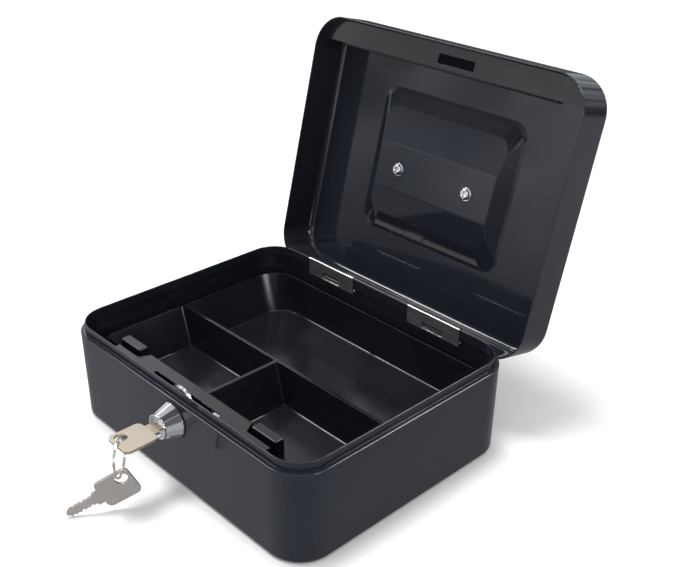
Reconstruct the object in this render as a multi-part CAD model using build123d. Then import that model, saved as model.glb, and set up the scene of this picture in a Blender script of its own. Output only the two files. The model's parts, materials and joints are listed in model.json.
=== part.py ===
from build123d import *
import math
import os

# Cash box with a lift-out coin tray, a cam lock and a folding bail handle.
# Millimetres. X runs along the front, Y from the front to the back, Z up.
# The origin is the middle of the base's underside. The lid stands open.

os.makedirs("parts", exist_ok=True)

# ---- Driving dimensions ----
WIDTH = 200.0
DEPTH = 160.0
CORNER = 20.5
SHEET = 0.8

# Base pan
BOTTOM_BEND = 2.5
LEDGE_Z = 55.0
SHOULDER_BEND = 0.6
EDGE_ROUND = 0.25
NECK_INSET = 2.7
NECK_TOP = 60.2
NECK_FACE = DEPTH / 2 - NECK_INSET - SHEET

# Lid, sized in its closed place
RIM_GAP = 0.3
LID_RIM = LEDGE_Z + RIM_GAP
LID_TOP = 81.3
LID_BEND = 4.4
LID_OPEN = 103.8

# Hinges
HINGE_X = 43.3
HINGE_Y = 77.7
HINGE_Z = 51.3
LEAF_WIDTH = 40.0
LEAF_SHEET = 0.8
LEAF_LOW = 49.7
LEAF_WINDOW = 16.0
LEAF_WINDOW_LOW = 50.5
LEAF_WINDOW_HIGH = 54.8
ARM_WIDTH = 15.4
ARM_SHEET = 0.7
ARM_TOP = 68.0
ARM_WINDOW = 18.0
PIN_RADIUS = 0.75
PIN_CLEARANCE = 0.05
FIXED_KNUCKLE = 1.4
MOVING_KNUCKLE = 1.5
STOP_Z = 49.0

# Pressed dish in the lid that takes the handle
DISH_HALF = 53.6
DISH_FRONT = -45.6
DISH_BACK = 42.0
DISH_CORNER = 10.0
DISH_STEP = 3.6
DISH_FLOOR = 6.8
STEP_FRONT = -36.2
STEP_BACK = 33.0
FLOOR_FRONT = -14.0
FLOOR_BACK = 14.5
SIDE_SLOPE = 1.3
CORNER_SLOPE = 1.1
DISH_CREST = 1.5
DISH_RIDGE = 9.0
RIM_FLARE = 1.0
RIM_DROP = 0.5

# Lock
LOCK_X = 3.5
LOCK_Z = 42.5
GASKET = 0.6
GASKET_RADIUS = 10.6
BEZEL_BACK_RADIUS = 10.25
BEZEL_FRONT_RADIUS = 7.2
BEZEL_FACE = -90.5
BEZEL_FACETS = 16
BARREL_RADIUS = 6.0
BARREL_END = -70.4
PLUG_RADIUS = 4.3
PLUG_FACE = BEZEL_FACE + 1.2
RUNNING_FIT = 0.05
TANG = 5.0
CAM_FRONT = -70.0
CAM_BACK = -68.0
CAM_DISC = 11.5
CAM_DROP = 7.5
HOOK_RADIUS = 26.0
HOOK_UNDER = 20.3

# Cover plate inside the front wall
COVER_TOP = 52.0
COVER_BACK = -59.8
COVER_END = 65.9
COVER_MIDDLE = 44.4
COVER_NOTCH = -66.8

# Coin tray
TRAY_RIM = 42.0
TRAY_FLOOR = 17.0
TRAY_WALL = 1.2
TRAY_HALF = 95.2
TRAY_FRONT = -59.4
TRAY_BACK = 75.2
TRAY_DIVIDER_Y = -2.0
TRAY_CROSS_X = -5.0
DIVIDER_TOP = 2.0
LUG_TOP = 54.7

# Handle, in the closed lid's place
POST_X = 27.1
POST_Y = 1.0
PIVOT_Z = 78.7
BAIL_RADIUS = 2.0
BAIL_LEG = 33.6
BAIL_REACH = 22.0

# Keys and ring
KEY_HALF = 0.8
BOW_WIDTH = 18.0
BOW_LENGTH = 19.6
COLLAR_LENGTH = 3.5
KEY_LENGTH = 39.6
BLADE_STEP = 0.12
BLADE_HALF = 2.95
KEY_HOLE = (-4.1, -14.3)
KEY_HOLE_RADIUS = 3.5
KEY_SHOULDER_Y = -95.0
RING_RADIUS = 10.4
RING_BAND = 0.9
RING_THICKNESS = 1.6
RING_ACROSS = Vector(0.6884, -0.7254, 0)
RING_OFFSET = 0.6
RING_REST = 1.34
RING_SWING = -3.3
SPARE_HOLE = Vector(1.5, -113.0, 20.75)


# ---- Helpers ----
def block(x, y, z):
    """Rectangular block between the (low, high) pairs x, y and z."""
    spans = (x, y, z)
    middle = [(low + high) / 2 for low, high in spans]
    size = [high - low for low, high in spans]
    return Pos(*middle) * Box(*size)


def slab(width, depth, corner, z_low, z_high):
    """Upright block with a rounded outline, centred on the Z axis."""
    return Pos(0, 0, z_low) * extrude(RectangleRounded(width, depth, corner), z_high - z_low)


def rod(start, direction, radius, length):
    """Round bar that starts at a point and runs along a direction."""
    place = Plane(origin=start, z_dir=direction)
    return place * Cylinder(radius, length, align=(Align.CENTER, Align.CENTER, Align.MIN))


def lowest_edges(shape):
    return shape.edges().group_by(Axis.Z)[0]


def highest_edges(shape):
    return shape.edges().group_by(Axis.Z)[-1]


def lock_plane(y):
    """Plane across the lock's axis. Its x is +X, its y is +Z and its normal is -Y."""
    return Plane(origin=(LOCK_X, y, LOCK_Z), x_dir=(1, 0, 0), z_dir=(0, -1, 0))


def lock_rod(radius, y_front, y_back):
    """Cylinder on the lock's axis between two distances from front to back."""
    return lock_plane(y_back) * Cylinder(
        radius, y_back - y_front, align=(Align.CENTER, Align.CENTER, Align.MIN)
    )


def opened(shape):
    """Swing a piece from the closed lid's place to the open lid's."""
    axis_place = Pos(0, HINGE_Y, HINGE_Z)
    return axis_place * Rot(X=-LID_OPEN) * axis_place.inverse() * shape


# ---- Base ----
def make_base_shell():
    """Deep-drawn pan with a stepped-in neck that the lid drops over."""
    outer = slab(WIDTH, DEPTH, CORNER, 0, LEDGE_Z)
    outer = fillet(lowest_edges(outer), BOTTOM_BEND)
    outer = fillet(highest_edges(outer), SHOULDER_BEND)
    inset = 2 * SHEET
    inner = slab(WIDTH - inset, DEPTH - inset, CORNER - SHEET, SHEET, LEDGE_Z - SHEET)
    inner = fillet(lowest_edges(inner), BOTTOM_BEND - SHEET)
    neck_in = 2 * NECK_INSET
    mouth_in = 2 * (NECK_INSET + SHEET)
    neck = slab(WIDTH - neck_in, DEPTH - neck_in, CORNER - NECK_INSET, LEDGE_Z - SHEET, NECK_TOP)
    mouth = slab(
        WIDTH - mouth_in, DEPTH - mouth_in, CORNER - NECK_INSET - SHEET,
        LEDGE_Z - SHEET - 0.5, NECK_TOP + 1,
    )
    shell = outer + neck - inner - mouth
    shell = fillet(highest_edges(shell), EDGE_ROUND)
    for side in (-1, 1):
        middle = side * HINGE_X
        shell -= block(
            (middle - ARM_WINDOW / 2, middle + ARM_WINDOW / 2),
            (DEPTH / 2 - NECK_INSET, DEPTH / 2 + 1),
            (STOP_Z, LEDGE_Z + 1),
        )
    return shell - lock_rod(BARREL_RADIUS, -DEPTH / 2 - 1, -DEPTH / 2 + 2)


def make_lock_cover():
    """Folded plate under the front ledge that hides the lock and holds the barrel."""
    front = -DEPTH / 2 + SHEET
    corner = COVER_MIDDLE + 3.5
    outline = Polyline(
        (-COVER_END, front),
        (COVER_END, front),
        (COVER_END, COVER_NOTCH),
        (corner, COVER_NOTCH),
        (COVER_MIDDLE, COVER_NOTCH + 5.8),
        (COVER_MIDDLE, COVER_BACK),
        (-COVER_MIDDLE, COVER_BACK),
        (-COVER_MIDDLE, COVER_NOTCH + 5.8),
        (-corner, COVER_NOTCH),
        (-COVER_END, COVER_NOTCH),
        close=True,
    )
    web = Pos(0, 0, COVER_TOP - SHEET) * extrude(make_face(outline), SHEET)
    back_flange = block(
        (-COVER_MIDDLE, COVER_MIDDLE), (COVER_BACK - SHEET, COVER_BACK), (30, COVER_TOP)
    )
    front_flange = block(
        (-COVER_MIDDLE, COVER_MIDDLE), (front, front + SHEET), (33, COVER_TOP)
    )
    plate = web + back_flange + front_flange
    plate = fillet(
        plate.edges().filter_by(Axis.X).filter_by_position(Axis.Y, COVER_BACK - 0.1, COVER_BACK + 0.1)
        .group_by(Axis.Z)[-1],
        0.7,
    )
    cam_slot = Pos(0, -68.95, COVER_TOP - SHEET - 0.5) * extrude(
        RectangleRounded(57, 3.3, 0.6), SHEET + 1
    )
    return plate - cam_slot - lock_rod(BARREL_RADIUS, front - 1, front + SHEET + 1)


# ---- Hinges ----
def hinge_line(middle, radius, x_low, x_high):
    """Cylinder on the hinge axis, between two distances from the hinge's middle."""
    return rod((middle + x_low, HINGE_Y, HINGE_Z), (1, 0, 0), radius, x_high - x_low)


def make_base_leaf(middle):
    """Plate hooked over the neck's rim, with a knuckle at each side of its window."""
    half = LEAF_WIDTH / 2
    x = (middle - half, middle + half)
    inside = NECK_FACE - LEAF_SHEET
    outside = NECK_FACE + SHEET + LEAF_SHEET
    leaf = block(x, (inside, outside), (LEAF_LOW, NECK_TOP + LEAF_SHEET))
    fold = leaf.edges().filter_by(Axis.X).group_by(Axis.Z)[-1]
    leaf = fillet(fold, 0.6)
    leaf -= block(x, (NECK_FACE, outside + 1), (LEAF_LOW - 1, NECK_TOP - 2))
    leaf -= block(x, (NECK_FACE, NECK_FACE + SHEET), (LEAF_LOW - 1, NECK_TOP))
    half_window = LEAF_WINDOW / 2
    for low, high in ((-half, -half_window), (half_window, half)):
        leaf += hinge_line(middle, FIXED_KNUCKLE, low, high)
    window_x = (middle - half_window, middle + half_window)
    leaf -= block(window_x, (inside - 1, NECK_FACE + 0.5), (LEAF_WINDOW_LOW, LEAF_WINDOW_HIGH))
    leaf -= block(window_x, (inside + 0.5, NECK_FACE + 0.5), (LEAF_LOW - 1, LEAF_WINDOW_LOW + 0.1))
    return leaf - hinge_line(middle, PIN_RADIUS, -half - 1, half + 1)


def make_lid_leaf(middle):
    """Moving knuckle with an arm that is welded inside the lid's rear wall."""
    half = ARM_WIDTH / 2
    wall = DEPTH / 2 - SHEET
    arm = block(
        (middle - half, middle + half), (wall - ARM_SHEET, wall), (HINGE_Z + 0.4, ARM_TOP)
    )
    corners = arm.edges().filter_by(Axis.Y).group_by(Axis.Z)[-1]
    arm = fillet(corners, 3)
    leaf = arm + hinge_line(middle, MOVING_KNUCKLE, -half, half)
    leaf -= hinge_line(middle, PIN_RADIUS + PIN_CLEARANCE, -half - 1, half + 1)
    return opened(leaf)


def make_hinge_pin(middle):
    half = LEAF_WIDTH / 2 + 0.4
    pin = hinge_line(middle, PIN_RADIUS, -half, half)
    return fillet(pin.edges().filter_by(GeomType.CIRCLE), 0.25)


# ---- Lid ----
def dish_layer(depth, grow):
    """Rounded outline of the dish at a depth below the lid's inner face."""
    front_slope = (STEP_FRONT - DISH_FRONT) / DISH_STEP
    back_slope = (DISH_BACK - STEP_BACK) / DISH_STEP
    front = DISH_FRONT + front_slope * depth - grow
    back = DISH_BACK - back_slope * depth + grow
    half = DISH_HALF - CORNER_SLOPE * depth + grow
    outline = RectangleRounded(2 * half, back - front, DISH_CORNER)
    return Pos(0, (front + back) / 2, LID_TOP - SHEET - depth) * outline


def dish_trough():
    """Flat floor along X with a slanted flank in front of it and one behind it."""
    top_z = LID_TOP - SHEET
    flank = (DISH_FLOOR - DISH_STEP) / (FLOOR_FRONT - STEP_FRONT)
    floor = Polyline(
        (DISH_FRONT, top_z),
        (DISH_FRONT, top_z - DISH_FLOOR + flank * (FLOOR_FRONT - DISH_FRONT)),
        (FLOOR_FRONT, top_z - DISH_FLOOR),
        (FLOOR_BACK, top_z - DISH_FLOOR),
        (DISH_BACK, top_z - DISH_FLOOR + flank * (DISH_BACK - FLOOR_BACK)),
        (DISH_BACK, top_z),
        close=True,
    )
    return extrude(Plane.YZ * make_face(floor), DISH_HALF, both=True)


def dish_wedge():
    """Block between the dish's two sloping sides."""
    top_z = LID_TOP - SHEET
    deep = DISH_FLOOR + 0.5
    sides = Polyline(
        (-DISH_HALF, top_z),
        (DISH_HALF, top_z),
        (DISH_HALF - SIDE_SLOPE * deep, top_z - deep),
        (SIDE_SLOPE * deep - DISH_HALF, top_z - deep),
        close=True,
    )
    section = Plane.XZ * make_face(sides)
    return Pos(0, DISH_BACK + 1, 0) * extrude(section, DISH_BACK - DISH_FRONT + 2)


def make_dish():
    """Solid of the pressed dish below the lid's inner face, with its ridges rounded over."""
    bank = loft([dish_layer(0, 0), dish_layer(DISH_FLOOR + 0.5, 0)], ruled=True)
    dish = dish_trough() & dish_wedge() & bank
    under = dish.edges().filter_by_position(Axis.Z, 0, LID_TOP - SHEET - 0.5)
    ridges = under.filter_by(Axis.X).group_by(Axis.Z)[0]
    dish = fillet(ridges, DISH_RIDGE)
    crests = [
        edge for edge in dish.edges().filter_by_position(Axis.Z, 0, LID_TOP - SHEET - 0.5)
        if abs(edge.center().X) > POST_X or abs(edge.center().Y) > 2 * FLOOR_BACK
    ]
    dish = fillet(crests, DISH_CREST)
    flare = loft([dish_layer(0, RIM_FLARE), dish_layer(RIM_DROP, -0.02)], ruled=True)
    return dish + flare


def make_lid_shell():
    outer = slab(WIDTH, DEPTH, CORNER, LID_RIM, LID_TOP)
    outer = fillet(highest_edges(outer), LID_BEND)
    inset = 2 * SHEET
    inner_top = LID_TOP - SHEET
    inner = slab(WIDTH - inset, DEPTH - inset, CORNER - SHEET, LID_RIM - 1, inner_top)
    inner = fillet(highest_edges(inner), LID_BEND - SHEET)
    dish = make_dish()
    shell = outer - inner
    shell = fillet(lowest_edges(shell), EDGE_ROUND)
    shell = shell + dish - Pos(0, 0, SHEET) * dish
    for side in (-1, 1):
        shell -= rod((side * POST_X, POST_Y, LID_TOP - 20), (0, 0, 1), 2.1, 30)
    return opened(shell)


def make_lid_strip():
    """Folded strip across the lid's front, with the slot that the lock's hook enters."""
    front = -DEPTH / 2 + SHEET
    back = -63.5
    web_low = 61.5
    straight = 80.0
    upstand = 4.0
    gap = 0.8
    bend = 1.6
    channel = block((-100, 100), (front - 5, back), (web_low, web_low + upstand))
    channel = fillet(lowest_edges(channel).group_by(Axis.Y)[-1], bend)
    hollow = block((-101, 101), (front - 6, back - SHEET), (web_low + SHEET, web_low + upstand + 1))
    hollow = fillet(lowest_edges(hollow).group_by(Axis.Y)[-1], bend - SHEET)
    inset = 2 * SHEET
    inside = slab(WIDTH - inset, DEPTH - inset, CORNER - SHEET, web_low - 1, web_low + upstand + 1)
    strip = (channel - hollow) & inside
    tall = (web_low - 1, web_low + upstand + 1)
    strip -= block((-straight, straight), (front - 1, front + gap), tall)
    for side in (-1, 1):
        strip -= Pos(side * straight, front + gap, web_low) * Cylinder(gap, upstand)
        ends = sorted((side * straight, side * 101))
        strip -= block(ends, (back - bend, back + 1), tall)
    hook_slot = Pos(8.25, -70.4, web_low - 1) * extrude(RectangleRounded(26.5, 5.6, 0.8), SHEET + 2)
    return opened(strip - hook_slot)


# ---- Handle ----
def make_handle_post(side):
    """Block on the dish floor that the bail's end turns in."""
    floor_z = LID_TOP - DISH_FLOOR
    middle = side * POST_X
    post = block((middle - 4.4, middle + 4.4), (POST_Y - 4.5, POST_Y + 4.5), (floor_z, 80.9))
    post = fillet(post.edges().filter_by(Axis.X).group_by(Axis.Z)[-1], 3)
    post = fillet(post.edges().filter_by(Axis.Z), 0.8)
    socket = rod((middle + side * 1.2, POST_Y, PIVOT_Z), (side, 0, 0), 1.5 + RUNNING_FIT, 5)
    thread = rod((middle, POST_Y, floor_z - 1), (0, 0, 1), 2.0, 3.5)
    return opened(post - socket - thread)


def make_handle_bail():
    """Round-bar bail, hanging straight down behind the open lid."""
    path = FilletPolyline(
        (-BAIL_LEG, POST_Y, PIVOT_Z),
        (-BAIL_LEG, POST_Y + BAIL_REACH, PIVOT_Z),
        (BAIL_LEG, POST_Y + BAIL_REACH, PIVOT_Z),
        (BAIL_LEG, POST_Y, PIVOT_Z),
        radius=7,
    )
    section = Plane(origin=path @ 0, z_dir=path % 0) * Circle(BAIL_RADIUS)
    bail = sweep(section, path=path)
    for side in (-1, 1):
        bail += rod((side * (BAIL_LEG - 1.8), POST_Y, PIVOT_Z), (side, 0, 0), 2.2, 3.6)
        bail += rod((side * (POST_X + 1.4), POST_Y, PIVOT_Z), (side, 0, 0), 1.5, 6)
    pivot = Pos(0, POST_Y, PIVOT_Z)
    hanging = pivot * Rot(X=LID_OPEN - 90) * pivot.inverse() * bail
    return opened(hanging)


def make_handle_washers():
    under = LID_TOP - SHEET - DISH_FLOOR
    rings = []
    for side in (-1, 1):
        ring = rod((side * POST_X, POST_Y, under - 0.5), (0, 0, 1), 4.0, 0.5)
        rings.append(opened(ring - rod((side * POST_X, POST_Y, under - 1), (0, 0, 1), 2.1, 2)))
    return Compound(children=rings)


def make_handle_screws():
    """Two cross-head screws that hold the posts from inside the lid."""
    under = LID_TOP - SHEET - DISH_FLOOR - 0.5
    screws = []
    for side in (-1, 1):
        place = (side * POST_X, POST_Y, under)
        head = rod(place, (0, 0, -1), 3.3, 2.2)
        head = fillet(lowest_edges(head), 1.3)
        for size in ((4.0, 0.9, 1.3), (0.9, 4.0, 1.3)):
            head -= Pos(side * POST_X, POST_Y, under - 2.2) * Box(*size)
        screws.append(opened(head + rod(place, (0, 0, 1), 2.0, 3.6)))
    return Compound(children=screws)


# ---- Lock ----
def make_lock_gasket():
    ring = lock_rod(GASKET_RADIUS, -DEPTH / 2 - GASKET, -DEPTH / 2)
    ring = fillet(ring.edges().group_by(Axis.Y)[0], 0.25)
    return ring - lock_rod(BARREL_RADIUS, -DEPTH / 2 - 2, -DEPTH / 2 + 1)


def make_lock_housing():
    """Faceted cone outside the wall and a plain barrel through it."""
    back = -DEPTH / 2 - GASKET
    wide = lock_plane(back) * RegularPolygon(BEZEL_BACK_RADIUS, BEZEL_FACETS)
    narrow = lock_plane(BEZEL_FACE + 0.8) * RegularPolygon(BEZEL_FRONT_RADIUS, BEZEL_FACETS)
    cone = loft([wide, narrow])
    lip = lock_rod(BEZEL_FRONT_RADIUS, BEZEL_FACE, BEZEL_FACE + 1.2)
    lip = fillet(lip.edges().group_by(Axis.Y)[0], 0.5)
    housing = cone + lip + lock_rod(BARREL_RADIUS, back - 0.5, BARREL_END)
    housing -= lock_rod(BEZEL_FRONT_RADIUS - 1.1, BEZEL_FACE - 1, PLUG_FACE)
    housing -= lock_rod(PLUG_RADIUS + 0.9 + RUNNING_FIT, BEZEL_FACE - 1, PLUG_FACE + 1.05)
    return housing - lock_rod(PLUG_RADIUS + RUNNING_FIT, BEZEL_FACE - 1, BARREL_END + 1)


def make_lock_nut():
    seat = -DEPTH / 2 + 2 * SHEET
    nut = lock_plane(seat + 3) * extrude(RegularPolygon(14 / math.sqrt(3), 6), 3)
    return nut - lock_rod(BARREL_RADIUS, seat - 1, seat + 4)


def wafer_positions():
    """Where the five wafers stand along the lock's axis."""
    return [-87.2 + 2.3 * index for index in range(5)]


def make_lock_plug():
    """Turning core with its keyway, wafer slots and the square tang of the cam."""
    plug = lock_rod(PLUG_RADIUS, PLUG_FACE, BARREL_END)
    plug += lock_rod(PLUG_RADIUS + 0.9, PLUG_FACE, PLUG_FACE + 1.0)
    tang = block(
        (LOCK_X - TANG / 2, LOCK_X + TANG / 2),
        (BARREL_END, CAM_BACK),
        (LOCK_Z - TANG / 2, LOCK_Z + TANG / 2),
    )
    plug += tang
    keyway_end = KEY_SHOULDER_Y + KEY_LENGTH - BOW_LENGTH + 0.5
    plug -= block(
        (LOCK_X - 3.2, LOCK_X + 3.2),
        (PLUG_FACE - 1, keyway_end),
        (LOCK_Z - KEY_HALF - 0.15, LOCK_Z + KEY_HALF + 0.15),
    )
    for y in wafer_positions():
        plug -= block((LOCK_X - 6, LOCK_X + 6), (y - 0.5, y + 0.5), (LOCK_Z - 2.6, LOCK_Z + 2.6))
    return plug - lock_rod(1.5, CAM_BACK - 4, CAM_BACK + 1)


def make_lock_wafers():
    wafers = []
    for y in wafer_positions():
        plate = lock_rod(PLUG_RADIUS - 0.05, y - 0.4, y + 0.4)
        plate &= block((LOCK_X - 6, LOCK_X + 6), (y - 1, y + 1), (LOCK_Z - 2.5, LOCK_Z + 2.5))
        plate -= block((LOCK_X - 3.1, LOCK_X + 3.1), (y - 1, y + 1), (LOCK_Z - 0.95, LOCK_Z + 0.95))
        wafers.append(plate)
    return Compound(children=wafers)


def make_lock_cam():
    """Hooked cam, drawn in its locked place and turned back to the unlocked one."""
    arc = Circle(HOOK_RADIUS)
    head = Pos(-0.6, HOOK_UNDER + 3) * Rectangle(17.2, 6) & arc
    shank = Pos(0.5, 11) * Rectangle(9, 22)
    disc = Pos(0, -CAM_DROP) * Circle(CAM_DISC)
    outline = disc + shank + head - Rectangle(TANG, TANG)
    place = lock_plane(CAM_BACK) * Rot(Z=-90)
    return place * extrude(outline, CAM_BACK - CAM_FRONT)


def make_cam_washer():
    return lock_rod(4.5, CAM_BACK, CAM_BACK + 0.8) - lock_rod(1.5, CAM_BACK - 1, CAM_BACK + 2)


def make_cam_screw():
    seat = CAM_BACK + 0.8
    head = lock_rod(2.8, seat, seat + 2)
    head = fillet(head.edges().group_by(Axis.Y)[-1], 0.8)
    for size in ((3.6, 1.2, 0.8), (0.8, 1.2, 3.6)):
        head -= Pos(LOCK_X, seat + 2, LOCK_Z) * Box(*size)
    return head + lock_rod(1.5, CAM_BACK - 3.5, seat)


# ---- Keys ----
def key_form():
    """Flat key. Its shoulder is at the origin, its bow along -Y, its blade along +Y."""
    bow = Pos(0, -BOW_LENGTH / 2) * RectangleRounded(BOW_WIDTH, BOW_LENGTH, 3)
    collar = Pos(0, COLLAR_LENGTH / 2 - 1) * Rectangle(8.8, COLLAR_LENGTH + 2)
    tip = KEY_LENGTH - BOW_LENGTH
    blade = Polyline(
        (-BLADE_HALF, 0),
        (BLADE_HALF, 0),
        (BLADE_HALF, tip - 2.4),
        (0.9, tip),
        (-0.5, tip),
        (-BLADE_HALF, tip - 2.4),
        close=True,
    )
    outline = bow + collar + make_face(blade)
    for index, bite in enumerate((0.8, 0.4, 1.0, 0.5, 0.7)):
        y = COLLAR_LENGTH + 3.0 + 2.6 * index
        outline -= Pos(BLADE_HALF, y) * Rectangle(2 * bite, 1.5)
        outline -= Pos(-BLADE_HALF, y + 0.8) * Rectangle(2 * (1.3 - bite), 1.5)
    outline -= Pos(*KEY_HOLE) * Circle(KEY_HOLE_RADIUS)
    key = Pos(0, 0, -KEY_HALF) * extrude(outline, 2 * KEY_HALF)
    thin = KEY_HALF - BLADE_STEP
    cuts = block((-6, 6), (0.4, tip + 1), (thin, KEY_HALF + 1))
    for low, high in ((-1.9, -1.1), (0.5, 1.3)):
        cuts += block((low, high), (COLLAR_LENGTH, tip + 1), (thin - 0.3, KEY_HALF + 1))
    return key - cuts - Rot(Y=180) * cuts


def make_key():
    return Pos(LOCK_X, KEY_SHOULDER_Y, LOCK_Z) * key_form()


def make_spare_key():
    """Second key, leaning from the ring down to the surface that the box stands on."""
    length = Vector(-0.44, -0.78, -0.42).normalized()
    normal = Vector(-0.88, 0.47, 0.04).normalized()
    width = length.cross(normal).normalized()
    normal = width.cross(length)
    shoulder = SPARE_HOLE - width * KEY_HOLE[0] - length * KEY_HOLE[1]
    return Plane(origin=shoulder, x_dir=width, z_dir=normal) * key_form()


def ring_normal():
    return RING_ACROSS.cross(Vector(0, 0, 1))


def ring_pivot():
    """Middle of the strip of key bow that the ring hangs on."""
    hole = Vector(LOCK_X + KEY_HOLE[0], KEY_SHOULDER_Y + KEY_HOLE[1], LOCK_Z)
    passing = hole + ring_normal() * RING_OFFSET
    hole_edge = math.sqrt(KEY_HOLE_RADIUS ** 2 - RING_OFFSET ** 2)
    bow_edge = (KEY_SHOULDER_Y - BOW_LENGTH - passing.Y) / RING_ACROSS.Y
    return passing + RING_ACROSS * (hole_edge + bow_edge) / 2


def ring_middle():
    drop = RING_RADIUS - RING_BAND / 2 - RING_REST
    swing = math.radians(RING_SWING)
    return ring_pivot() + RING_ACROSS * drop * math.sin(swing) - Vector(0, 0, drop * math.cos(swing))


def make_key_ring():
    """Split ring's outer form, as one plain band."""
    band = Cylinder(RING_RADIUS + RING_BAND / 2, RING_THICKNESS)
    band -= Cylinder(RING_RADIUS - RING_BAND / 2, RING_THICKNESS + 1)
    band = fillet(band.edges().filter_by(GeomType.CIRCLE), 0.3)
    return Plane(origin=ring_middle(), z_dir=ring_normal()) * band


# ---- Coin tray ----
def pocket(x, y, corners, grow):
    """Tapered pocket between pairs x and y, its walls moved out by grow.

    corners holds the outline radii of the front and of the back corners."""
    sections = []
    for z, in_x, in_y, shrink in ((TRAY_RIM, 0, 0, 0), (TRAY_FLOOR - grow, 8.4, 1.6, 0.5)):
        low_x, high_x = x[0] + in_x - grow, x[1] - in_x + grow
        low_y, high_y = y[0] + in_y - grow, y[1] - in_y + grow
        outline = Pos((low_x + high_x) / 2, (low_y + high_y) / 2) * Rectangle(
            high_x - low_x, high_y - low_y
        )
        front, back = corners
        for group, radius in ((0, front), (-1, back)):
            outline = fillet(outline.vertices().group_by(Axis.Y)[group], radius + grow - shrink)
        sections.append(Pos(0, 0, z) * outline)
    solid = loft(sections, ruled=True)
    return fillet(lowest_edges(solid), 1.2 + grow)


def tray_pockets(grow):
    inner_x = TRAY_HALF - TRAY_WALL
    front_y = (TRAY_FRONT + TRAY_WALL, TRAY_DIVIDER_Y - DIVIDER_TOP / 2)
    back_y = (TRAY_DIVIDER_Y + DIVIDER_TOP / 2, TRAY_BACK - TRAY_WALL)
    half = DIVIDER_TOP / 2
    return [
        pocket((-inner_x, inner_x), back_y, (2, 17), grow),
        pocket((-inner_x, TRAY_CROSS_X - half), front_y, (2, 2), grow),
        pocket((TRAY_CROSS_X + half, inner_x), front_y, (2, 2), grow),
    ]


def make_lift_lug(side):
    """Hollow finger lug that stands on the tray's front rim."""
    x = sorted((side * 48.5, side * 67.7))
    base = Pos(side * 58.1, -61.8, TRAY_RIM - TRAY_WALL) * RectangleRounded(19.2, 6.8, 1.5)
    height = LUG_TOP - TRAY_RIM + TRAY_WALL
    lug = extrude(base, height, taper=1.5)
    lug = fillet(highest_edges(lug), 0.8)
    hollow = block(
        (x[0] + TRAY_WALL + 0.4, x[1] - TRAY_WALL - 0.4),
        (-65.2 + TRAY_WALL + 0.4, -58.4 - TRAY_WALL - 0.4),
        (TRAY_RIM - TRAY_WALL - 1, LUG_TOP - TRAY_WALL),
    )
    return lug, hollow


def make_coin_tray():
    """Thin moulded tray: three pockets, a flat rim, two lift lugs and four feet."""
    rim = block(
        (-TRAY_HALF, TRAY_HALF), (TRAY_FRONT, TRAY_BACK), (TRAY_RIM - TRAY_WALL, TRAY_RIM)
    )
    uprights = rim.edges().filter_by(Axis.Z)
    rim = fillet(uprights.group_by(Axis.Y)[0], 6)
    rim = fillet(rim.edges().filter_by(Axis.Z).group_by(Axis.Y)[-1], 18)
    tray = rim
    for shape in tray_pockets(TRAY_WALL):
        tray += shape & block((-100, 100), (-100, 100), (0, TRAY_RIM - 0.5))
    for side in (-1, 1):
        lug, hollow = make_lift_lug(side)
        tray = tray + lug - hollow
        for y in (-48, 62):
            tray += block(
                (side * 76 - 4, side * 76 + 4), (y - 4, y + 4), (SHEET, TRAY_FLOOR - TRAY_WALL + 0.5)
            )
    for shape in tray_pockets(0):
        tray -= shape
    return tray


# ---- Write every piece ----
def make_pieces():
    pieces = {
        "base_shell": make_base_shell(),
        "lock_cover": make_lock_cover(),
        "lock_gasket": make_lock_gasket(),
        "lock_housing": make_lock_housing(),
        "lock_nut": make_lock_nut(),
        "lock_plug": make_lock_plug(),
        "lock_wafers": make_lock_wafers(),
        "lock_cam": make_lock_cam(),
        "cam_washer": make_cam_washer(),
        "cam_screw": make_cam_screw(),
        "coin_tray": make_coin_tray(),
        "lid_shell": make_lid_shell(),
        "lid_lock_strip": make_lid_strip(),
        "handle_bail": make_handle_bail(),
        "handle_washers": make_handle_washers(),
        "handle_screws": make_handle_screws(),
        "key": make_key(),
        "key_ring": make_key_ring(),
        "spare_key": make_spare_key(),
    }
    for name, side in (("left", -1), ("right", 1)):
        pieces["base_hinge_leaf_" + name] = make_base_leaf(side * HINGE_X)
        pieces["lid_hinge_leaf_" + name] = make_lid_leaf(side * HINGE_X)
        pieces["hinge_pin_" + name] = make_hinge_pin(side * HINGE_X)
        pieces["handle_post_" + name] = make_handle_post(side)
    return pieces


for node, shape in make_pieces().items():
    export_step(shape, "parts/" + node + ".step")
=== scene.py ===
import json
import math
import bmesh
import bpy
from mathutils import Matrix, Vector


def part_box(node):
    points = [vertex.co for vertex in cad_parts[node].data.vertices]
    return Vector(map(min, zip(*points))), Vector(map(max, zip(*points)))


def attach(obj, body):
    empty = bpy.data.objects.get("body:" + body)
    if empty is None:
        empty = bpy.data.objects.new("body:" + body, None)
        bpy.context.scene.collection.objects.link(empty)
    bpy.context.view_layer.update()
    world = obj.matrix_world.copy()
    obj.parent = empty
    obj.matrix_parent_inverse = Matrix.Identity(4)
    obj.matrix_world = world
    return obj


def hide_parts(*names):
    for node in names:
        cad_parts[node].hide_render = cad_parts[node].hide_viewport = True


# Cash box with its lid open. Metres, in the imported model's frame.

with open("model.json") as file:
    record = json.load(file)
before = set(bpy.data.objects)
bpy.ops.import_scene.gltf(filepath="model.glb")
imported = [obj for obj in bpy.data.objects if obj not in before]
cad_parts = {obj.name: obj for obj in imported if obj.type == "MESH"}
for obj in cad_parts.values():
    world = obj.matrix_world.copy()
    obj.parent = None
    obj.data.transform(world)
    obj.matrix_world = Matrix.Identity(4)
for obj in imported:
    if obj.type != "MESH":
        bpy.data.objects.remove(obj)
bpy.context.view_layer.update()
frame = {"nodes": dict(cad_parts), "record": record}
NODES = frame["nodes"]
MM = 0.001

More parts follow.
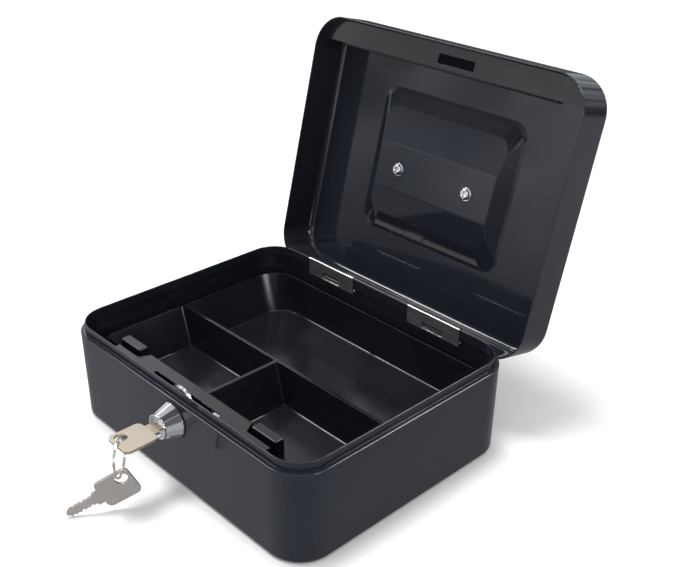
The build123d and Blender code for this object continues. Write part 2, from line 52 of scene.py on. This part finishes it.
# ---- Camera ----
CAMERA_PLACE = Vector((363.7, -309.6, 340.1)) * MM
CAMERA_YAW = math.radians(46.06)
CAMERA_PITCH = math.radians(30.31)
CAMERA_ROLL = math.radians(0.73)
CAMERA_LENS = 52.52
CAMERA_SHIFT_Y = 0.0742
SENSOR_WIDTH = 36
CLIP_RANGE = (0.01, 50)


def make_camera():
    """Camera that looks down at the open box from its right front."""
    forward = Vector((
        -math.sin(CAMERA_YAW) * math.cos(CAMERA_PITCH),
        math.cos(CAMERA_YAW) * math.cos(CAMERA_PITCH),
        -math.sin(CAMERA_PITCH),
    ))
    level = Vector((math.cos(CAMERA_YAW), math.sin(CAMERA_YAW), 0))
    rise = level.cross(forward)
    right = level * math.cos(CAMERA_ROLL) + rise * math.sin(CAMERA_ROLL)
    up = rise * math.cos(CAMERA_ROLL) - level * math.sin(CAMERA_ROLL)
    turn = Matrix((right, up, -forward)).transposed().to_4x4()
    data = bpy.data.cameras.new("camera")
    data.sensor_fit = "HORIZONTAL"
    data.sensor_width = SENSOR_WIDTH
    data.lens = CAMERA_LENS
    data.shift_y = CAMERA_SHIFT_Y
    data.clip_start, data.clip_end = CLIP_RANGE
    camera = bpy.data.objects.new("camera", data)
    bpy.context.scene.collection.objects.link(camera)
    camera.matrix_world = Matrix.Translation(CAMERA_PLACE) @ turn
    bpy.context.scene.camera = camera


make_camera()


# ---- Material helpers ----
# Most of a noise's values lie between these two.
NOISE_LOW = 0.3
NOISE_HIGH = 0.7
LEAST_ROUGHNESS = 0.01
PATCH_DETAIL = 3
BEVEL_SAMPLES = 6
EVEN = (1, 1, 1)


class Paint:
    """A node material, with short calls for the few kinds of node that this file uses."""

    def __init__(self, name, color, roughness, metallic=0.0, specular=0.5):
        self.material = bpy.data.materials.new(name)
        self.material.use_nodes = True
        self.tree = self.material.node_tree
        self.shader = self.tree.nodes["Principled BSDF"]
        self.shader.inputs["Base Color"].default_value = (*color, 1)
        self.shader.inputs["Roughness"].default_value = roughness
        self.shader.inputs["Metallic"].default_value = metallic
        self.shader.inputs["Specular IOR Level"].default_value = specular
        self.place = self.tree.nodes.new("ShaderNodeTexCoord").outputs["Object"]
        self.color = color
        self.roughness = roughness
        self.normal = None

    def link(self, source, target):
        self.tree.links.new(source, target)

    def stretched(self, stretch):
        """Object coordinates, scaled along each axis."""
        node = self.tree.nodes.new("ShaderNodeMapping")
        node.inputs["Scale"].default_value = stretch
        self.link(self.place, node.inputs["Vector"])
        return node.outputs["Vector"]

    def noise(self, size, detail, stretch=EVEN):
        """Noise whose features are about size metres across."""
        node = self.tree.nodes.new("ShaderNodeTexNoise")
        node.inputs["Scale"].default_value = 1 / size
        node.inputs["Detail"].default_value = detail
        self.link(self.stretched(stretch), node.inputs["Vector"])
        return node.outputs["Fac"]

    def spread(self, value, low, high):
        """Map the usual range of a noise onto low to high."""
        node = self.tree.nodes.new("ShaderNodeMapRange")
        node.inputs["From Min"].default_value = NOISE_LOW
        node.inputs["From Max"].default_value = NOISE_HIGH
        node.inputs["To Min"].default_value = low
        node.inputs["To Max"].default_value = high
        self.link(value, node.inputs["Value"])
        return node.outputs["Result"]

    def vary_roughness(self, size, amount, stretch=EVEN):
        """Make the surface up to amount rougher and smoother in soft patches."""
        value = self.noise(size, detail=PATCH_DETAIL, stretch=stretch)
        low = max(LEAST_ROUGHNESS, self.roughness - amount)
        self.link(self.spread(value, low, self.roughness + amount), self.shader.inputs["Roughness"])

    def vary_color(self, size, other):
        """Blend the base colour towards another one in soft patches."""
        mix = self.tree.nodes.new("ShaderNodeMix")
        mix.data_type = "RGBA"
        mix.inputs["A"].default_value = (*self.color, 1)
        mix.inputs["B"].default_value = (*other, 1)
        self.link(self.spread(self.noise(size, detail=PATCH_DETAIL), 0, 1), mix.inputs["Factor"])
        self.link(mix.outputs["Result"], self.shader.inputs["Base Color"])

    def set_normal(self, normal):
        self.normal = normal
        self.link(normal, self.shader.inputs["Normal"])

    def round_edges(self, radius):
        """Shade sharp edges as if they had a small radius."""
        node = self.tree.nodes.new("ShaderNodeBevel")
        node.samples = BEVEL_SAMPLES
        node.inputs["Radius"].default_value = radius
        self.set_normal(node.outputs["Normal"])

    def bump(self, height, depth, strength):
        """Add a bump of depth metres over any bump or rounding that is already there."""
        node = self.tree.nodes.new("ShaderNodeBump")
        node.inputs["Strength"].default_value = strength
        node.inputs["Distance"].default_value = depth
        self.link(height, node.inputs["Height"])
        if self.normal:
            self.link(self.normal, node.inputs["Normal"])
        self.set_normal(node.outputs["Normal"])


# ---- Materials ----
# Along which axis a plated part's grain runs, as a stretch of the noise.
ALONG_X = (0.3, 1, 1)
FINE_ALONG_X = (0.05, 1, 1)
ALONG_Y = (1, 0.3, 1)


def powder_coat():
    """Glossy blue-black powder coat with a slight orange-peel surface."""
    paint = Paint("black_powder_coat", (0.013, 0.0155, 0.0235), 0.075)
    paint.vary_roughness(size=30 * MM, amount=0.02)
    paint.round_edges(0.3 * MM)
    paint.vary_color(size=50 * MM, other=(0.0145, 0.0165, 0.023))
    paint.bump(paint.noise(20 * MM, detail=2), depth=0.05 * MM, strength=0.5)
    paint.bump(paint.noise(1.6 * MM, detail=2), depth=0.006 * MM, strength=0.6)
    return paint.material


def plate_paint():
    """Low-sheen black paint on the folded plates."""
    paint = Paint("black_plate", (0.012, 0.0125, 0.0145), 0.2)
    paint.vary_roughness(size=20 * MM, amount=0.04)
    paint.vary_color(size=20 * MM, other=(0.0145, 0.015, 0.017))
    paint.round_edges(0.3 * MM)
    paint.bump(paint.noise(0.9 * MM, detail=2), depth=0.01 * MM, strength=0.6)
    return paint.material


def tray_plastic():
    """Satin moulded black plastic with a very fine grain."""
    paint = Paint("black_plastic", (0.0065, 0.0075, 0.0115), 0.19)
    paint.vary_roughness(size=30 * MM, amount=0.04)
    paint.vary_color(size=30 * MM, other=(0.0085, 0.0095, 0.013))
    paint.round_edges(0.2 * MM)
    paint.bump(paint.noise(0.7 * MM, detail=1), depth=0.003 * MM, strength=0.4)
    return paint.material


def bright_steel():
    """Zinc-plated steel with faint drawing lines along X."""
    paint = Paint("bright_steel", (0.78, 0.79, 0.8), 0.16, metallic=0.93)
    paint.vary_roughness(size=4 * MM, amount=0.06, stretch=ALONG_X)
    paint.vary_color(size=8 * MM, other=(0.62, 0.62, 0.62))
    paint.round_edges(0.25 * MM)
    paint.bump(paint.noise(4 * MM, detail=2), depth=0.5 * MM, strength=0.8)
    paint.bump(paint.noise(0.4 * MM, detail=2, stretch=FINE_ALONG_X), depth=0.005 * MM, strength=0.5)
    return paint.material


def chrome():
    """Polished chrome with slight waviness."""
    paint = Paint("chrome", (0.8, 0.8, 0.81), 0.035, metallic=1)
    paint.vary_roughness(size=4 * MM, amount=0.02)
    paint.round_edges(0.3 * MM)
    paint.bump(paint.noise(4 * MM, detail=2), depth=0.01 * MM, strength=0.4)
    return paint.material


def nickel(name, color, roughness):
    """Nickel-plated stamping with faint rolling lines along Y."""
    paint = Paint(name, color, roughness, metallic=0.85)
    paint.vary_roughness(size=3 * MM, amount=0.04)
    paint.vary_color(size=12 * MM, other=[channel * 0.95 for channel in color])
    paint.round_edges(0.3 * MM)
    paint.bump(paint.noise(4 * MM, detail=2, stretch=ALONG_Y), depth=0.01 * MM, strength=0.5)
    return paint.material


def brass():
    """Stamped brass of the lock's wafers."""
    paint = Paint("brass", (0.72, 0.55, 0.27), 0.3, metallic=1)
    paint.vary_roughness(size=2 * MM, amount=0.06)
    paint.vary_color(size=3 * MM, other=(0.6, 0.45, 0.22))
    return paint.material


def rubber():
    """Matte black rubber of the lock's gasket."""
    paint = Paint("black_rubber", (0.01, 0.01, 0.01), 0.6)
    paint.vary_roughness(size=4 * MM, amount=0.08)
    paint.bump(paint.noise(0.6 * MM, detail=3), depth=0.02 * MM, strength=0.6)
    return paint.material


MATERIALS = {
    "black_powder_coat": powder_coat(),
    "black_plate": plate_paint(),
    "black_plastic": tray_plastic(),
    "bright_steel": bright_steel(),
    "chrome": chrome(),
    "brass": brass(),
    "black_rubber": rubber(),
    "warm_nickel": nickel("warm_nickel", (0.64, 0.555, 0.45), 0.34),
    "nickel": nickel("nickel", (0.78, 0.72, 0.68), 0.2),
}


def dress_nodes():
    """Give every CAD node the material of its slot in the record."""
    for row in frame["record"]["subparts"]:
        node = NODES[row["node"]]
        node.data.materials.clear()
        node.data.materials.append(MATERIALS[row["material_slot"]])


dress_nodes()

# ---- Split ring ----
RING_HEADING = math.radians(-46.5)
RING_BAND = 0.8 * MM
TURN_THICKNESS = 0.72 * MM
LAYER_SPACING = 1.1 * TURN_THICKNESS
RING_TURNS = 2
RING_CROSSOVER = math.radians(50)
STEPS_PER_TURN = 96
STEPS_LEFT_OUT = 3
WIRE_CORNERS = 12
WIRE_SQUARENESS = 0.75


def ring_height(angle):
    """Place of the wire across the ring: one layer, a short crossover, then the other layer."""
    start = math.pi * RING_TURNS - RING_CROSSOVER / 2
    share = min(1.0, max(0.0, (angle - start) / RING_CROSSOVER))
    smooth = share * share * (3 - 2 * share)
    return (smooth - 0.5) * LAYER_SPACING


def flattened(wave):
    """Push a sine or cosine outwards, which squares up the wire's oval section."""
    return math.copysign(abs(wave) ** WIRE_SQUARENESS, wave)


def wire_section(mesh, centre, outward, normal):
    """Corners of the wire's section, with the band's width along outward and its thickness along normal."""
    section = []
    for corner in range(WIRE_CORNERS):
        turn = 2 * math.pi * corner / WIRE_CORNERS
        radial = flattened(math.cos(turn)) * RING_BAND / 2
        axial = flattened(math.sin(turn)) * TURN_THICKNESS / 2
        section.append(mesh.verts.new(centre + outward * radial + normal * axial))
    return section


def ring_wire():
    """Mesh of the wire: it goes round twice and ends in the other layer, just short of its start."""
    low, high = (Vector(corner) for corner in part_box("key_ring"))
    middle = (low + high) / 2
    radius = (high.z - low.z) / 2 - RING_BAND / 2
    across = Vector((math.cos(RING_HEADING), math.sin(RING_HEADING), 0))
    up = Vector((0, 0, 1))
    normal = across.cross(up)
    mesh = bmesh.new()
    sections = []
    for step in range(RING_TURNS * STEPS_PER_TURN - STEPS_LEFT_OUT + 1):
        angle = 2 * math.pi * step / STEPS_PER_TURN
        outward = across * math.cos(angle) + up * math.sin(angle)
        centre = middle + outward * radius + normal * ring_height(angle)
        sections.append(wire_section(mesh, centre, outward, normal))
    for first, second in zip(sections, sections[1:]):
        for corner in range(WIRE_CORNERS):
            after = (corner + 1) % WIRE_CORNERS
            mesh.faces.new((first[corner], first[after], second[after], second[corner]))
    mesh.faces.new(sections[0][::-1])
    mesh.faces.new(sections[-1])
    bmesh.ops.recalc_face_normals(mesh, faces=mesh.faces)
    return mesh


def make_split_ring():
    """Split ring in place of the plain band."""
    mesh = ring_wire()
    data = bpy.data.meshes.new("split_ring")
    mesh.to_mesh(data)
    mesh.free()
    for face in data.polygons:
        face.use_smooth = True
    data.materials.append(MATERIALS["nickel"])
    piece = bpy.data.objects.new("split_ring", data)
    bpy.context.scene.collection.objects.link(piece)
    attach(piece, "ring")
    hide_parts("key_ring")


make_split_ring()

# ---- Floor ----
FLOOR_HALF = 3.0
FLOOR_COLOR = (0.92, 0.92, 0.92)


def make_floor():
    """Plain pale floor. The object's gloss reflects the world in place of it."""
    corners = [(-1, -1), (1, -1), (1, 1), (-1, 1)]
    mesh = bpy.data.meshes.new("floor")
    mesh.from_pydata([(x * FLOOR_HALF, y * FLOOR_HALF, 0) for x, y in corners], [], [(0, 1, 2, 3)])
    floor = bpy.data.objects.new("floor", mesh)
    bpy.context.scene.collection.objects.link(floor)
    paint = Paint("floor", FLOOR_COLOR, 0.8, specular=0.1)
    paint.vary_roughness(size=0.4, amount=0.05)
    floor.data.materials.append(paint.material)
    floor.visible_glossy = False


make_floor()

# ---- World ----
# The studio that gloss reflects, as (sine of the height, grey), where -1 is straight down.
FRONT_GLOW = (
    (-1, 0.46), (-0.3, 0.46), (-0.2, 0.2), (-0.1, 0.15), (-0.02, 0.4), (0.06, 0.6), (0.1, 1.2), (0.15, 1.2),
    (0.19, 0.35), (0.28, 0.3), (0.45, 0.1), (0.62, 0.12), (0.7, 0.6), (0.8, 0.6), (0.9, 0.06), (1, 0.06),
)
BACK_GLOW = (
    (-1, 0.34), (-0.5, 0.3), (-0.35, 0.45), (-0.22, 0.42), (-0.13, 0.04), (0, 0.1), (0.1, 0.5), (0.35, 0.5),
    (0.5, 0.7), (0.62, 0.6), (0.72, 0.1), (0.8, 0.9), (0.86, 0.9), (0.93, 0.06), (1, 0.06),
)
GLOW_TINT = (0.96, 1, 1.04)
# A ramp's greys are divided by this, and the studio's strength multiplies it back.
GLOW_TOP = 4.0
# The front's glow takes over from the back's between these cosines to the front direction.
FRONT_DIRECTION = (-0.58, -0.81, 0)
FRONT_BLEND = (0.45, 0.8)
CLOUD_SEED = 5.5
CLOUD_SCALE = 4.2
CLOUD_DETAIL = 6
CLOUD_ROUGHNESS = 0.62
CLOUD_NOISE = (0.4, 0.62)
CLOUD_GAIN = (0.2, 2.6)
# The clouds fade in over this stretch of heights.
CLOUD_BASE = (-0.15, 0.02)
ROOM_LIGHT = 0.9
# How much brighter the background is in the picture than in the light it gives.
BACKDROP_GAIN = 0.3


def remap(tree, value, source, target=(0, 1)):
    """Map the source range of a value onto the target range."""
    node = tree.nodes.new("ShaderNodeMapRange")
    node.inputs["From Min"].default_value, node.inputs["From Max"].default_value = source
    node.inputs["To Min"].default_value, node.inputs["To Max"].default_value = target
    tree.links.new(value, node.inputs["Value"])
    return node.outputs["Result"]


def glow_ramp(tree, height, stops):
    """Colour ramp over the sine of a direction's height."""
    ramp = tree.nodes.new("ShaderNodeValToRGB")
    elements = ramp.color_ramp.elements
    while len(elements) < len(stops):
        elements.new(0.5)
    for element, (sine, grey) in zip(elements, stops):
        element.position = (sine + 1) / 2
        element.color = (*(grey / GLOW_TOP * tint for tint in GLOW_TINT), 1)
    tree.links.new(remap(tree, height, (-1, 1)), ramp.inputs["Fac"])
    return ramp.outputs["Color"]


def studio_color(tree, direction, height):
    """Blend of the back's glow and the front's by how far a direction points to the front."""
    aim = tree.nodes.new("ShaderNodeVectorMath")
    aim.operation = "DOT_PRODUCT"
    aim.inputs[1].default_value = FRONT_DIRECTION
    tree.links.new(direction, aim.inputs[0])
    mix = tree.nodes.new("ShaderNodeMix")
    mix.data_type = "RGBA"
    tree.links.new(remap(tree, aim.outputs["Value"], FRONT_BLEND), mix.inputs["Factor"])
    tree.links.new(glow_ramp(tree, height, BACK_GLOW), mix.inputs["A"])
    tree.links.new(glow_ramp(tree, height, FRONT_GLOW), mix.inputs["B"])
    return mix.outputs["Result"]


def studio_strength(tree, direction, height):
    """Even below the horizon, and in soft bright and dark clouds above it."""
    clouds = tree.nodes.new("ShaderNodeTexNoise")
    clouds.noise_dimensions = "4D"
    clouds.inputs["W"].default_value = CLOUD_SEED
    clouds.inputs["Scale"].default_value = CLOUD_SCALE
    clouds.inputs["Detail"].default_value = CLOUD_DETAIL
    clouds.inputs["Roughness"].default_value = CLOUD_ROUGHNESS
    tree.links.new(direction, clouds.inputs["Vector"])
    gain = [level * GLOW_TOP for level in CLOUD_GAIN]
    mix = tree.nodes.new("ShaderNodeMix")
    mix.inputs["A"].default_value = GLOW_TOP
    tree.links.new(remap(tree, height, CLOUD_BASE), mix.inputs["Factor"])
    tree.links.new(remap(tree, clouds.outputs["Fac"], CLOUD_NOISE, gain), mix.inputs["B"])
    return mix.outputs["Result"]


def make_world():
    """Even white light for the floor and the background, and a banded studio for gloss alone."""
    world = bpy.data.worlds.new("world")
    world.use_nodes = True
    tree = world.node_tree
    direction = tree.nodes.new("ShaderNodeTexCoord").outputs["Generated"]
    split = tree.nodes.new("ShaderNodeSeparateXYZ")
    tree.links.new(direction, split.inputs["Vector"])
    height = split.outputs["Z"]
    studio = tree.nodes.new("ShaderNodeBackground")
    tree.links.new(studio_color(tree, direction, height), studio.inputs["Color"])
    tree.links.new(studio_strength(tree, direction, height), studio.inputs["Strength"])
    rays = tree.nodes.new("ShaderNodeLightPath")
    backdrop = tree.nodes.new("ShaderNodeMath")
    backdrop.operation = "MULTIPLY_ADD"
    backdrop.inputs[1].default_value = BACKDROP_GAIN
    backdrop.inputs[2].default_value = ROOM_LIGHT
    tree.links.new(rays.outputs["Is Camera Ray"], backdrop.inputs[0])
    even = tree.nodes["Background"]
    even.inputs["Color"].default_value = (1, 1, 1, 1)
    tree.links.new(backdrop.outputs["Value"], even.inputs["Strength"])
    choice = tree.nodes.new("ShaderNodeMixShader")
    tree.links.new(rays.outputs["Is Glossy Ray"], choice.inputs["Fac"])
    tree.links.new(even.outputs["Background"], choice.inputs[1])
    tree.links.new(studio.outputs["Background"], choice.inputs[2])
    tree.links.new(choice.outputs["Shader"], tree.nodes["World Output"].inputs["Surface"])
    bpy.context.scene.world = world


make_world()

# ---- Lights ----
LIGHT_TARGET = Vector((0, 0, 60)) * MM
LIGHT_DISTANCE = 1.5
WHITE = (1, 1, 1)
WARM_WHITE = (1, 0.97, 0.9)
SOFT_WHITE = (1, 0.98, 0.94)
COOL_WHITE = (0.88, 0.94, 1)


def add_light(name, direction, size, power, color):
    """Rectangular soft light that stands off in a direction and looks at the box."""
    data = bpy.data.lights.new(name, "AREA")
    data.shape = "RECTANGLE"
    data.size, data.size_y = size
    data.energy = power
    data.color = color
    light = bpy.data.objects.new(name, data)
    bpy.context.scene.collection.objects.link(light)
    toward = Vector(direction).normalized()
    light.location = LIGHT_TARGET + toward * LIGHT_DISTANCE
    light.rotation_mode = "QUATERNION"
    light.rotation_quaternion = (-toward).to_track_quat("-Z", "Y")
    return light


def make_lights():
    """One soft light that gives the shadows, and three strips that show only in gloss."""
    shadow = add_light("shadow_light", (-0.14, -0.03, 1), size=(0.5, 0.5), power=20, color=WHITE)
    shadow.visible_glossy = False
    strips = [
        add_light("back_strip", (0.4, 0.62, 0.68), size=(0.5, 0.4), power=18, color=WARM_WHITE),
        add_light("left_strip", (-0.62, -0.2, 0.75), size=(0.4, 0.6), power=12, color=SOFT_WHITE),
        add_light("right_window", (0.97, 0, 0.24), size=(0.5, 0.25), power=7, color=COOL_WHITE),
    ]
    for strip in strips:
        strip.visible_diffuse = False


make_lights()
bpy.context.scene.view_settings.view_transform = "Standard"
